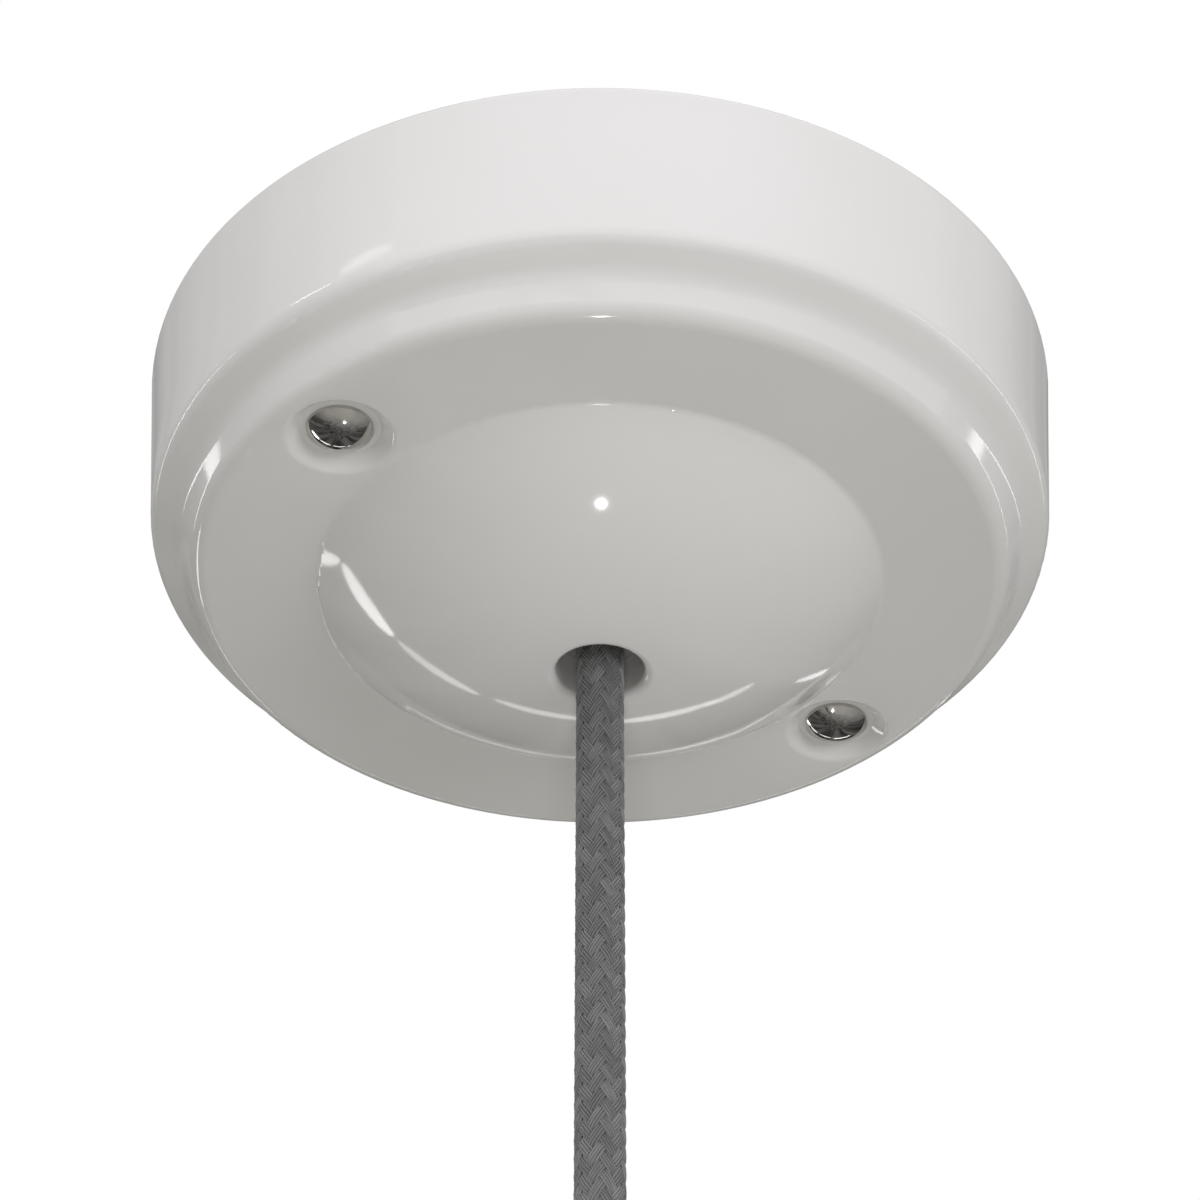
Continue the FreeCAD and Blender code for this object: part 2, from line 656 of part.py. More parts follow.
POLE_X = "size.pole_pitch / 2"
BLOCK_HALF = "((size.pole_pitch + size.barrel_width) / 2)"
WEB_X = "((size.pole_pitch - size.barrel_width) / 2)"
BARREL_Z = "(-size.block_plate - size.barrel_height)"
BARREL_TURN = "size.barrel_rounding"
TOWER_Z = f"({BARREL_Z} - size.tower_height)"
BORE_Z = "(-size.block_plate - size.barrel_height / 2)"
CLAMP_Y = "size.clamp_spacing / 2"
TIP_AXIS_Z = f"({BORE_Z} + size.tube_bore / 2 - size.tip_diameter / 2 - size.thread_gap)"
TIP_LOW_Z = f"({TIP_AXIS_Z} - size.tip_diameter / 2 - size.thread_gap)"

block = new_body("terminal_block")
block_outline = new_sketch(block, "block_outline", "XZ_Plane")
draw_outline(block_outline, both_halves([
    (WEB_X, "-size.block_plate"),
    (WEB_X, f"{BARREL_Z} + {BARREL_TURN}", BARREL_TURN, "left"),
    (f"{WEB_X} + {BARREL_TURN}", BARREL_Z),
    (f"{BLOCK_HALF} - {BARREL_TURN}", BARREL_Z, BARREL_TURN, "left"),
    (BLOCK_HALF, f"{BARREL_Z} + {BARREL_TURN}"),
    (BLOCK_HALF, "0"),
]))
pad(block, "block_barrels", block_outline, "size.block_depth", middle=True)

tower_outline = new_sketch(block, "tower_outline", "XY_Plane", z=f"{BARREL_Z} + {BARREL_TURN}")
well_outline = new_sketch(block, "well_outline", "XY_Plane", z=TOWER_Z)
bore_outline = new_sketch(block, "bore_outline", "XZ_Plane")
for across in SIGNS:
    draw_circle(bore_outline, f"{across}{POLE_X}", BORE_Z, "size.tube_diameter / 2 + size.tube_gap")
    for along in SIGNS:
        place = (f"{across}{POLE_X}", f"{along}{CLAMP_Y}")
        draw_circle(tower_outline, *place, "size.tower_diameter / 2")
        draw_circle(well_outline, *place, "size.terminal_head_diameter / 2 + size.pass_gap")
pad(block, "block_towers", tower_outline, f"{BARREL_TURN} + size.tower_height", reverse=True)
pocket(block, "wire_bores", bore_outline, middle=True)
pocket(block, "screw_wells", well_outline, f"{BORE_Z} - {TOWER_Z}", reverse=True)
block_hole = new_sketch(block, "block_hole_outline", "XY_Plane")
draw_circle(block_hole, "0", "0", "size.block_screw_diameter / 2 + size.pass_gap")
pocket(block, "block_hole", block_hole)
move(block, "0", BLOCK_Y, f"-{THICK}")


def terminal_tube(name, across):
    """A brass tube cross-drilled for its two clamping screws."""
    body = new_body(name)
    ring = new_sketch(body, f"{name}_ring", "XZ_Plane")
    draw_circle(ring, "0", "0", "size.tube_diameter / 2")
    draw_circle(ring, "0", "0", "size.tube_bore / 2")
    pad(body, f"{name}_drawn", ring, "size.block_depth - 2 * size.tube_inset", middle=True)
    drill = new_sketch(body, f"{name}_drill", "XY_Plane")
    for along in SIGNS:
        draw_circle(drill, "0", f"{along}{CLAMP_Y}", "size.terminal_screw_diameter / 2 + size.thread_gap")
    pocket(body, f"{name}_holes", drill)
    move(body, f"{across}{POLE_X}", BLOCK_Y, f"-{THICK} + {BORE_Z}")
    return body


tube_live = terminal_tube("terminal_tube_live", "")
tube_neutral = terminal_tube("terminal_tube_neutral", "-")

clamping_screws = []
for across in SIGNS:
    for along in SIGNS:
        screw = slotted_screw(f"terminal_screw_{len(clamping_screws)}", "size.terminal_screw_diameter",
                              "size.terminal_screw_length", "size.terminal_head_diameter",
                              "size.terminal_head_height")
        move(screw, f"{across}{POLE_X}", f"{BLOCK_Y} + {along}{CLAMP_Y}",
             f"-{THICK} + {TIP_LOW_Z} - size.terminal_screw_length")
        clamping_screws.append(screw)
terminal_screws = group("terminal_screws", clamping_screws)

block_screw = slotted_screw("block_screw", "size.block_screw_diameter", "size.block_screw_length",
                            "size.block_head_diameter", "size.block_head_height")
move(block_screw, "0", BLOCK_Y, f"-{THICK} - size.block_plate")


# Cord grip: a moulded foot that rests on the land inside the dome, with one half of the clamp standing on
# it, and a loose bar that two screws draw against the cord. Its own origin is on the land.

GRIP_X = "size.grip_width / 2"
GRIP_Y = "size.grip_depth"
GRIP_PART_Y = "size.grip_parting / 2"
GRIP_TURN = "size.grip_corner_radius"
GRIP_SCREW_X = "size.grip_screw_spacing / 2"
GRIP_SCREW_Z = "(size.grip_foot_height + size.grip_height / 2)"
CORD_R = "size.cord_diameter / 2"
GRIP_BORE_R = f"({CORD_R} + size.grip_gap)"


def grip_half(body, name, hole_radius):
    """One half of the clamp: an upright block with a groove for the cord and two holes for the screws."""
    sketch = new_sketch(body, f"{name}_outline", "XY_Plane", z="size.grip_foot_height")
    draw_outline(sketch, both_halves([
        (GRIP_X, GRIP_PART_Y),
        (GRIP_X, f"{GRIP_Y} - {GRIP_TURN}", GRIP_TURN, "left"),
        (f"{GRIP_X} - {GRIP_TURN}", GRIP_Y),
    ]))
    pad(body, f"{name}_block", sketch, "size.grip_height")
    groove = new_sketch(body, f"{name}_groove_outline", "XY_Plane")
    draw_circle(groove, "0", "0", GRIP_BORE_R)
    pocket(body, f"{name}_groove", groove, reverse=True)
    cross = new_sketch(body, f"{name}_cross_outline", "XZ_Plane")
    for side in SIGNS:
        draw_circle(cross, f"{side}{GRIP_SCREW_X}", GRIP_SCREW_Z, hole_radius)
    pocket(body, f"{name}_cross_holes", cross)


grip_base = new_body("cord_grip_base")
foot_outline = new_sketch(grip_base, "grip_foot_outline", "XY_Plane")
draw_circle(foot_outline, "0", "0", "size.grip_foot_diameter / 2")
pad(grip_base, "grip_foot", foot_outline, "size.grip_foot_height")
grip_half(grip_base, "grip_base", "size.grip_screw_diameter / 2 + size.thread_gap")
move(grip_base, z=LAND_Z)

grip_bar = new_body("cord_grip_bar")
grip_half(grip_bar, "grip_bar", "size.grip_screw_diameter / 2 + size.pass_gap")
grip_bar.Placement.Rotation = FreeCAD.Rotation(FreeCAD.Vector(0, 0, 1), 180)
move(grip_bar, z=LAND_Z)

grip_screw = slotted_screw("cord_grip_screw", "size.grip_screw_diameter", "size.grip_screw_length",
                           "size.grip_head_diameter", "size.grip_head_height")
grip_screw.Placement.Rotation = FreeCAD.Rotation(FreeCAD.Vector(1, 0, 0), -90)
move(grip_screw, GRIP_SCREW_X, f"-{GRIP_Y}", f"{LAND_Z} + {GRIP_SCREW_Z}")
grip_screws = group("cord_grip_screws", [grip_screw, mirrored(grip_screw, (1, 0, 0))])


# Pendant cord: one straight run through the grip and the hole, with a shrunk sleeve round the lower end
# of the braid. Two insulated cores leave its upper end for the terminals and its lower end as tails with
# ferrules.

CORD_TOP_Z = f"({LAND_Z} + size.grip_foot_height + size.grip_height + size.cord_stub)"
CORD_END_Z = "-size.cord_drop"
BEND_SHARE = 0.45
VOLUME_TOLERANCE = 0.005

cord = doc.addObject("Part::Cylinder", "pendant_cord")
bind(cord, Radius=CORD_R, Height=f"{CORD_TOP_Z} - {CORD_END_Z}")
move(cord, z=CORD_END_Z)

sleeve = new_body("cord_end_sleeve")
sleeve_section = new_sketch(sleeve, "sleeve_section", "XZ_Plane")
SLEEVE_R = f"({CORD_R} + size.sleeve_gap)"
MOUTH_IN_R = "((size.core_spread + size.core_diameter) / 2 + size.sleeve_gap)"
SLEEVE_TOP = "size.sleeve_length - size.sleeve_overhang"
draw_outline(sleeve_section, [
    (SLEEVE_R, SLEEVE_TOP),
    (SLEEVE_R, "0"),
    (MOUTH_IN_R, "-size.sleeve_overhang"),
    (f"{MOUTH_IN_R} + size.sleeve_wall", "-size.sleeve_overhang"),
    (f"{SLEEVE_R} + size.sleeve_wall", "0"),
    (f"{SLEEVE_R} + size.sleeve_wall", SLEEVE_TOP),
])
revolve(sleeve, "sleeve_shrunk", sleeve_section)
move(sleeve, z=CORD_END_Z)


def core(name, route):
    """A round insulated core along straight runs that are joined by arcs as large as the runs allow."""
    points = [FreeCAD.Vector(*(value(number) for number in place)) for place in route]
    radius = value("size.core_diameter / 2")
    runs = [(after - before) for before, after in zip(points, points[1:])]
    headings = [FreeCAD.Vector(run).normalize() for run in runs]
    edges = []
    leave = points[0]
    for index in range(1, len(points) - 1):
        turn = headings[index - 1].getAngle(headings[index])
        trim = BEND_SHARE * min(runs[index - 1].Length, runs[index].Length)
        enter = points[index] - headings[index - 1] * trim
        onward = points[index] + headings[index] * trim
        bend = trim / math.tan(turn / 2)
        inward = (headings[index] - headings[index - 1]).normalize()
        middle = points[index] + inward * (bend / math.cos(turn / 2) - bend)
        edges.append(Part.LineSegment(leave, enter).toShape())
        edges.append(Part.Arc(enter, middle, onward).toShape())
        print(f"{name}: bend of radius {bend:.1f}")
        leave = onward
    edges.append(Part.LineSegment(leave, points[-1]).toShape())
    path = Part.Wire(edges)
    section = Part.Wire(Part.Circle(points[0], headings[0], radius).toShape())
    node = doc.addObject("Part::Feature", name)
    node.Shape = path.makePipeShell([section], True, False)
    expected = math.pi * radius**2 * path.Length
    if abs(node.Shape.Volume - expected) > VOLUME_TOLERANCE * expected:
        raise RuntimeError(f"{name} has the volume {node.Shape.Volume:.2f}, not {expected:.2f}")
    return node


FRONT_Y = f"({BLOCK_Y} - size.block_depth / 2)"
WIRE_Z = f"(-{THICK} + {TIP_AXIS_Z})"
CORE_X = "size.core_spread / 2"
TAIL_X = "size.tail_spread / 2"
TAIL_END_Z = f"({CORD_END_Z} - size.tail_length)"

cores = []
tips = []
ferrules = []
for across, wire in zip(SIGNS, ("live", "neutral")):
    cores.append(core(f"core_{wire}", [
        (f"{across}{CORE_X}", "0", CORD_TOP_Z),
        (f"{across}{CORE_X}", "0", f"{CORD_TOP_Z} + size.core_rise"),
        (f"{across}{POLE_X}", f"{FRONT_Y} - size.core_lead", WIRE_Z),
        (f"{across}{POLE_X}", f"{FRONT_Y} + size.tube_inset", WIRE_Z),
    ]))
    tip = doc.addObject("Part::Cylinder", f"core_tip_{wire}")
    bind(tip, Radius="size.tip_diameter / 2", Height="size.tip_length")
    tip.Placement.Rotation = FreeCAD.Rotation(FreeCAD.Vector(1, 0, 0), -90)
    move(tip, f"{across}{POLE_X}", f"{FRONT_Y} + size.tube_inset", WIRE_Z)
    tips.append(tip)
    cores.append(core(f"tail_{wire}", [
        (f"{across}{CORE_X}", "0", CORD_END_Z),
        (f"{across}{CORE_X}", "0", f"{CORD_END_Z} - size.tail_bend_start"),
        (f"{across}{TAIL_X}", "0", f"{CORD_END_Z} - size.tail_bend_end"),
        (f"{across}{TAIL_X}", "0", TAIL_END_Z),
    ]))
    ferrule = new_body(f"ferrule_{wire}")
    ferrule_section = new_sketch(ferrule, f"ferrule_{wire}_section", "XZ_Plane")
    draw_outline(ferrule_section, [
        ("0", "-size.ferrule_length"),
        ("size.ferrule_diameter / 2", "-size.ferrule_length"),
        ("size.ferrule_diameter / 2", "-size.ferrule_flare_length"),
        ("size.ferrule_flare_diameter / 2", "0"),
        ("0", "0"),
    ])
    revolve(ferrule, f"ferrule_{wire}_drawn", ferrule_section)
    move(ferrule, f"{across}{TAIL_X}", "0", TAIL_END_Z)
    ferrules.append(ferrule)
core_tips = group("core_tips", tips)
tail_ferrules = group("tail_ferrules", ferrules)


# Every object has to be sound before any of the nodes is written.

nodes = [
    rose, fixing_screws, screw_caps,
    bracket, earth_screw, earth_washer,
    block, tube_live, tube_neutral, terminal_screws, block_screw,
    grip_base, grip_bar, grip_screws,
    cord, sleeve, *cores, core_tips, tail_ferrules,
]
doc.recompute()
for thing in doc.Objects:
    if {"Invalid", "Error"} & set(thing.State):
        raise RuntimeError(f"{thing.Label} failed: {thing.State}")
for node in nodes:
    if node.Shape.isNull() or not node.Shape.isValid():
        raise RuntimeError(f"{node.Label} has no valid shape")
os.makedirs("parts", exist_ok=True)
for node in nodes:
    node.Shape.exportStep(f"parts/{node.Label}.step")
    print(f"{node.Label}: {len(node.Shape.Solids)} solids, {node.Shape.Volume:.1f} cubic mm")
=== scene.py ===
from math import cos, pi, radians, sin, tan

import bmesh
import bpy
import numpy as np
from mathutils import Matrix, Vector


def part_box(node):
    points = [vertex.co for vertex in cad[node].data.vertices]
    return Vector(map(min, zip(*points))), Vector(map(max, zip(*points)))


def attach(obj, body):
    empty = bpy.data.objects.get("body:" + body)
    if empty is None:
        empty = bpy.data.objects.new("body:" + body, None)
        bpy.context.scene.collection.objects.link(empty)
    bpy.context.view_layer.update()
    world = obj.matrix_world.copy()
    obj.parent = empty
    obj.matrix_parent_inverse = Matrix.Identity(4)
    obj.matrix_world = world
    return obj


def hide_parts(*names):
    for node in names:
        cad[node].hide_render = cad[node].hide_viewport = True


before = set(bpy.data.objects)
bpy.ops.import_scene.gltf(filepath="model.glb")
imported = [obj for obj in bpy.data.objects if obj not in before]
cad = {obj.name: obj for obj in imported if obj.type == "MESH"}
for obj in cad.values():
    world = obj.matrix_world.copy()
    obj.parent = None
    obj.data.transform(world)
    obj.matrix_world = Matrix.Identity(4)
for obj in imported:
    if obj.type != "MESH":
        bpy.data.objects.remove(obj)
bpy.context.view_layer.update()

# The imported model
# Its box is kept, and nothing stays selected,
# so that an operator acts only on the piece being modelled.
bpy.ops.object.select_all(action="DESELECT")


# Mounting bracket
# A strap of 2 mm steel with two slots for the ceiling, pressed to shape and bright zinc plated.
# It is screwed to the ceiling first and carries everything else. The small steel screws of the
# block and the cord grip have the same plating.
def start_material(name, roughness=0.5, metallic=0.0):
    """A new material and its shader, with the values that are the same all over."""
    material = bpy.data.materials.new(name)
    material.use_nodes = True
    shader = material.node_tree.nodes["Principled BSDF"]
    shader.inputs["Roughness"].default_value = roughness
    shader.inputs["Metallic"].default_value = metallic
    return material, shader


def add_node(material, kind, **sockets):
    """A shader node of this kind, with input sockets set by name."""
    made = material.node_tree.nodes.new("ShaderNode" + kind)
    for name, value in sockets.items():
        made.inputs[name.replace("_", " ")].default_value = value
    return made


def link(material, source, target):
    """Joins an output socket to an input socket."""
    material.node_tree.links.new(source, target)


def noise(material, scale, detail=4.0, stretch=(1.0, 1.0, 1.0)):
    """Noise on the piece's own coordinates, scale in waves per metre. Returns the value socket."""
    place = add_node(material, "TexCoord")
    shape = add_node(material, "Mapping", Scale=stretch)
    texture = add_node(material, "TexNoise", Scale=scale, Detail=detail)
    link(material, place.outputs["Object"], shape.inputs["Vector"])
    link(material, shape.outputs["Vector"], texture.inputs["Vector"])
    return texture.outputs["Fac"]


def spread(material, value, low, high, start=0.35, end=0.65):
    """The value's range from start to end, stretched over low to high."""
    span = add_node(material, "MapRange", From_Min=start, From_Max=end, To_Min=low, To_Max=high)
    link(material, value, span.inputs["Value"])
    return span.outputs["Result"]


def blend_colours(material, value, first, second):
    """A colour between first and second, as the value goes from 0 to 1."""
    mix = add_node(material, "Mix")
    mix.data_type = "RGBA"
    mix.inputs[6].default_value = (*first, 1.0)
    mix.inputs[7].default_value = (*second, 1.0)
    link(material, value, mix.inputs["Factor"])
    return mix.outputs[2]


def mottle(material, shader, cloud, dark, light):
    """Colours the surface from dark to light with a cloudy value."""
    colour = blend_colours(material, spread(material, cloud, 0.0, 1.0), dark, light)
    link(material, colour, shader.inputs["Base Color"])


def vary_gloss(material, shader, cloud, low, high):
    """Varies the roughness from low to high with a cloudy value."""
    link(material, spread(material, cloud, low, high), shader.inputs["Roughness"])


def add_bump(material, shader, height, depth):
    """Relief of this depth in metres, from a height value between 0 and 1."""
    relief = add_node(material, "Bump", Strength=1.0, Distance=depth)
    link(material, height, relief.inputs["Height"])
    link(material, relief.outputs["Normal"], shader.inputs["Normal"])


def dress(name, material):
    """Puts the material on every slot of a CAD piece."""
    for slot in cad[name].material_slots:
        slot.material = material


zinc, zinc_shader = start_material("bright_zinc", metallic=1.0)
zinc_cloud = noise(zinc, scale=160.0, detail=5.0)
rolling_lines = noise(zinc, scale=900.0, stretch=(0.15, 1.0, 1.0))
mottle(zinc, zinc_shader, zinc_cloud, dark=(0.57, 0.585, 0.6), light=(0.66, 0.66, 0.65))
vary_gloss(zinc, zinc_shader, zinc_cloud, low=0.24, high=0.34)
add_bump(zinc, zinc_shader, rolling_lines, depth=0.00001)
for zinc_piece in ("mounting_bracket", "terminal_screws", "block_screw", "cord_grip_screws"):
    dress(zinc_piece, zinc)


# Earth terminal
# A screw with a washer on the strap, turned and punched from plain brass.
# The tubes inside the terminal block are cut from the same brass.
brass, brass_shader = start_material("plain_brass", metallic=1.0)
brass_cloud = noise(brass, scale=300.0, detail=5.0)
mottle(brass, brass_shader, brass_cloud, dark=(0.62, 0.43, 0.17), light=(0.78, 0.58, 0.28))
vary_gloss(brass, brass_shader, brass_cloud, low=0.18, high=0.34)
for brass_piece in ("earth_screw", "earth_washer", "terminal_tube_live", "terminal_tube_neutral"):
    dress(brass_piece, brass)


# Terminal block
# A two-pole block moulded in white nylon, screwed to the strap's ear.
# Its brass tubes and clamping screws hold the supply wires and the cores.
white_nylon, white_nylon_shader = start_material("white_nylon", roughness=0.42)
nylon_cloud = noise(white_nylon, scale=90.0)
nylon_grain = noise(white_nylon, scale=2500.0, detail=2.0)
mottle(white_nylon, white_nylon_shader, nylon_cloud, dark=(0.79, 0.78, 0.73), light=(0.84, 0.83, 0.79))
add_bump(white_nylon, white_nylon_shader, nylon_grain, depth=0.00002)
dress("terminal_block", white_nylon)


# Cord grip
# A base moulded in grey nylon that rests on the land inside the dome, with a bar that two screws
# draw against the cord, so that the cord carries the lamp without pulling at the terminals.
grey_nylon, grey_nylon_shader = start_material("grey_nylon", roughness=0.45)
grip_cloud = noise(grey_nylon, scale=120.0)
grip_grain = noise(grey_nylon, scale=2200.0, detail=2.0)
mottle(grey_nylon, grey_nylon_shader, grip_cloud, dark=(0.27, 0.27, 0.28), light=(0.33, 0.33, 0.34))
add_bump(grey_nylon, grey_nylon_shader, grip_grain, depth=0.00003)
for grip_piece in ("cord_grip_base", "cord_grip_bar"):
    dress(grip_piece, grey_nylon)


# Pendant cord
# A round flex, 6 mm across, in a grey braid of 24 flat carriers of four yarns each,
# two over and two under. The weight below keeps it straight.
CORD_DIAMETER = 0.006
CARRIERS_EACH_WAY = 12
BRAID_LEAD = 0.028
CARRIER_WIDTH = 0.00128
CARRIER_THICKNESS = 0.00044
CARRIER_RISE = 0.00018
YARNS_IN_CARRIER = 4
STEP_ALONG = 0.00036
SHEATH_RADIUS = 0.00245
SHEATH_SIDES = 32
BRAID_CREASE = radians(75)

# How steeply a carrier passes from over to under, and where round the cord it does so.
CROSSING_STEEPNESS = 2.2
CROSSING_TURN = pi / 4

# Heights in a carrier's section, as shares of its thickness, and half its underside, as a share
# of its width.
YARN_VALLEY = -0.2
YARN_CROWN = 0.25
MIDDLE_BULGE = 0.25
UNDERSIDE = -0.5
UNDERSIDE_HALF = 0.3

# Steps of shade from one carrier to the next and for the two ways round, and how fine the
# filaments are along a carrier and across it.
TINT_STEP = 0.618
TINT_OF_WAY = 0.3
FILAMENT_STRETCH = (2.5, 2.0, 1.0)

# The cord's line, from the grip through a point below the rose to its lower end.
ROUTE_DROP = 6 * CORD_DIAMETER
ROUTE_RESOLUTION = 64
cord_low, cord_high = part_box("pendant_cord")
cord_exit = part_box("rose_body")[0][2]
cord_route = [
    (0.0, 0.0, cord_high[2]),
    (0.0, 0.0, cord_exit - ROUTE_DROP),
    (0.0, 0.0, cord_low[2]),
]
route_curve = bpy.data.curves.new("cord_route", "CURVE")
route_curve.dimensions = "3D"
route_curve.resolution_u = ROUTE_RESOLUTION
route_line = route_curve.splines.new("NURBS")
route_line.points.add(len(cord_route) - 1)
for point, place in zip(route_line.points, cord_route):
    point.co = (*place, 1.0)
route_line.order_u = 3
route_line.use_endpoint_u = True
route_object = bpy.data.objects.new("cord_route", route_curve)
bpy.context.collection.objects.link(route_object)
route_mesh = bpy.data.meshes.new_from_object(route_object)
route_points = np.array([vertex.co for vertex in route_mesh.vertices])
bpy.data.objects.remove(route_object)
bpy.data.curves.remove(route_curve)
bpy.data.meshes.remove(route_mesh)

# Distances along the line, and evenly spaced steps.
run_lengths = np.linalg.norm(np.diff(route_points, axis=0), axis=1)
distances = np.concatenate([[0.0], np.cumsum(run_lengths)])
cord_length = float(distances[-1])
step_count = int(cord_length / STEP_ALONG)
steps = np.linspace(0.0, cord_length, step_count + 1)


def place_on_cord(distance):
    """The place on the cord's line at each distance from its top."""
    return np.stack([np.interp(distance, distances, route_points[:, axis]) for axis in range(3)], axis=-1)


def carrier_section():
    """Half-round lobes side by side on top, one for each yarn, over a flat underside."""
    outline = []
    half = 0.5 / YARNS_IN_CARRIER
    for yarn in range(YARNS_IN_CARRIER):
        centre = (yarn + 0.5) / YARNS_IN_CARRIER - 0.5
        bulge = MIDDLE_BULGE * (1.0 - (2 * abs(centre)) ** 2)
        outline.append((centre - half, YARN_VALLEY + bulge))
        outline.append((centre, YARN_CROWN + bulge))
    outline.append((0.5, YARN_VALLEY))
    outline.append((UNDERSIDE_HALF, UNDERSIDE))
    outline.append((-UNDERSIDE_HALF, UNDERSIDE))
    return np.array(outline) * (CARRIER_WIDTH, CARRIER_THICKNESS)


section = carrier_section()
section_count = len(section)
middle_radius = CORD_DIAMETER / 2 - CARRIER_THICKNESS / 2 - CARRIER_RISE
along_uv = steps / CORD_DIAMETER
rows = np.arange(step_count)
cord_points = []
cord_faces = []
cord_tint = []
cord_uvs = []
for way in (1, -1):
    slope = way * 2 * pi / BRAID_LEAD
    slant = np.arctan(slope * middle_radius)
    for carrier in range(CARRIERS_EACH_WAY):
        first = len(cord_points)
        angle = 2 * pi * carrier / CARRIERS_EACH_WAY + slope * steps
        crossing = np.cos(CARRIERS_EACH_WAY / 2 * angle - CROSSING_TURN)
        rise = way * np.tanh(CROSSING_STEEPNESS * crossing)
        for across, out in section:
            vertex_angle = angle + across * cos(slant) / middle_radius
            along = np.clip(steps - across * sin(slant), 0.0, cord_length)
            radius = middle_radius + CARRIER_RISE * rise + out
            around = np.stack([np.cos(vertex_angle), np.sin(vertex_angle), np.zeros_like(steps)], axis=-1)
            cord_points.extend(place_on_cord(along) + radius[:, None] * around)
        for side in range(section_count):
            near = first + side * (step_count + 1) + rows
            far = first + (side + 1) % section_count * (step_count + 1) + rows
            cord_faces.extend(np.stack([near, far, far + 1, near + 1], axis=-1).tolist())
            cord_uvs.extend(np.stack([along_uv, np.full_like(along_uv, side)], axis=-1))
        for end in (0, step_count):
            ring = [first + side * (step_count + 1) + end for side in range(section_count)]
            cord_faces.append(ring if end else ring[::-1])
        shade = (carrier * TINT_STEP + way * TINT_OF_WAY) % 1.0
        cord_tint.extend([shade] * (section_count * (step_count + 1)))

braid_mesh = bpy.data.meshes.new("pendant_cord_braid")
braid_mesh.from_pydata([tuple(point) for point in cord_points], [], cord_faces)
braid = bpy.data.objects.new("pendant_cord_braid", braid_mesh)
bpy.context.collection.objects.link(braid)
tint = braid_mesh.attributes.new("carrier_tint", "FLOAT", "POINT")
tint.data.foreach_set("value", cord_tint)
uv_map = braid_mesh.uv_layers.new(name="along_carrier")
corner_vertices = np.empty(len(braid_mesh.loops), dtype=np.int32)
braid_mesh.loops.foreach_get("vertex_index", corner_vertices)
uv_map.data.foreach_set("uv", np.array(cord_uvs)[corner_vertices].ravel())


def select_only(*pieces):
    """Selects these pieces and nothing else, and makes the last one active."""
    bpy.ops.object.select_all(action="DESELECT")
    for piece in pieces:
        piece.select_set(True)
        bpy.context.view_layer.objects.active = piece


# The sheath under the braid, which fills the gaps between the carriers.
bpy.ops.mesh.primitive_cylinder_add(
    vertices=SHEATH_SIDES, radius=SHEATH_RADIUS, depth=cord_length,
    location=(0.0, 0.0, (cord_low[2] + cord_high[2]) / 2))
sheath = bpy.context.active_object
select_only(sheath, braid)
bpy.ops.object.join()
bpy.ops.object.shade_smooth_by_angle(angle=BRAID_CREASE)


def add_math(material, operation, first, second):
    """A sum or other operation on two values, each a socket or a number. Returns the value socket."""
    made = add_node(material, "Math")
    made.operation = operation
    for place, value in zip(made.inputs, (first, second)):
        if isinstance(value, float):
            place.default_value = value
        else:
            link(material, value, place)
    return made.outputs["Value"]


def cover(piece, material):
    """Makes this the only material of a new piece."""
    piece.data.materials.clear()
    piece.data.materials.append(material)


grey_braid, braid_shader = start_material("grey_braid", roughness=0.8)
braid_shader.inputs["Sheen Weight"].default_value = 0.25
braid_shader.inputs["Sheen Roughness"].default_value = 0.5
carrier_tint = add_node(grey_braid, "Attribute")
carrier_tint.attribute_name = "carrier_tint"
braid_uv = add_node(grey_braid, "UVMap")
braid_uv.uv_map = "along_carrier"
filament_shape = add_node(grey_braid, "Mapping", Scale=FILAMENT_STRETCH)
filaments = add_node(grey_braid, "TexNoise", Scale=1.0, Detail=3.0)
across_carrier = add_node(grey_braid, "SeparateXYZ")
link(grey_braid, braid_uv.outputs["UV"], filament_shape.inputs["Vector"])
link(grey_braid, filament_shape.outputs["Vector"], filaments.inputs["Vector"])
link(grey_braid, braid_uv.outputs["UV"], across_carrier.inputs["Vector"])
# Painted shade and painted highlight: the colour is darker in the valleys between the yarns and lighter
# on their crowns. This is added to the filament noise and to each carrier's own tone.
yarn_crown = add_math(grey_braid, "PINGPONG", across_carrier.outputs["Y"], 1.0)
painted_yarn_shading = spread(grey_braid, yarn_crown, -0.22, 0.12, start=0.0, end=0.8)
filaments_and_painted_shading = add_math(grey_braid, "ADD", filaments.outputs["Fac"], painted_yarn_shading)
tint_shade = spread(grey_braid, carrier_tint.outputs["Fac"], -0.12, 0.12, start=0.0, end=1.0)
braid_tone_and_painted_shading = add_math(grey_braid, "ADD", filaments_and_painted_shading, tint_shade)
braid_share = spread(grey_braid, braid_tone_and_painted_shading, 0.0, 1.0, start=0.2, end=0.8)
braid_colour = blend_colours(grey_braid, braid_share, (0.095, 0.095, 0.096), (0.278, 0.278, 0.281))
link(grey_braid, braid_colour, braid_shader.inputs["Base Color"])
add_bump(grey_braid, braid_shader, filaments.outputs["Fac"], depth=0.00008)
cover(braid, grey_braid)

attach(braid, "root")
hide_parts("pendant_cord")


# Cores and tails
# The cord's two insulated conductors: above, from the grip to the terminals, with their bare
# copper inside the tubes. Below, the tails stand out of a shrunk sleeve and end in crimped ferrules.
def insulation(name, dark, light):
    """Satin PVC in one colour, a little uneven along the core."""
    material, shader = start_material(name)
    cloud = noise(material, scale=250.0, detail=3.0)
    grain = noise(material, scale=1200.0, detail=2.0)
    mottle(material, shader, cloud, dark, light)
    vary_gloss(material, shader, cloud, low=0.28, high=0.42)
    add_bump(material, shader, grain, depth=0.00002)
    return material


brown = insulation("brown_insulation", dark=(0.14, 0.05, 0.02), light=(0.19, 0.075, 0.033))
blue = insulation("blue_insulation", dark=(0.025, 0.13, 0.44), light=(0.04, 0.19, 0.56))
for core, colour in (("live", brown), ("neutral", blue)):
    dress("core_" + core, colour)
    dress("tail_" + core, colour)

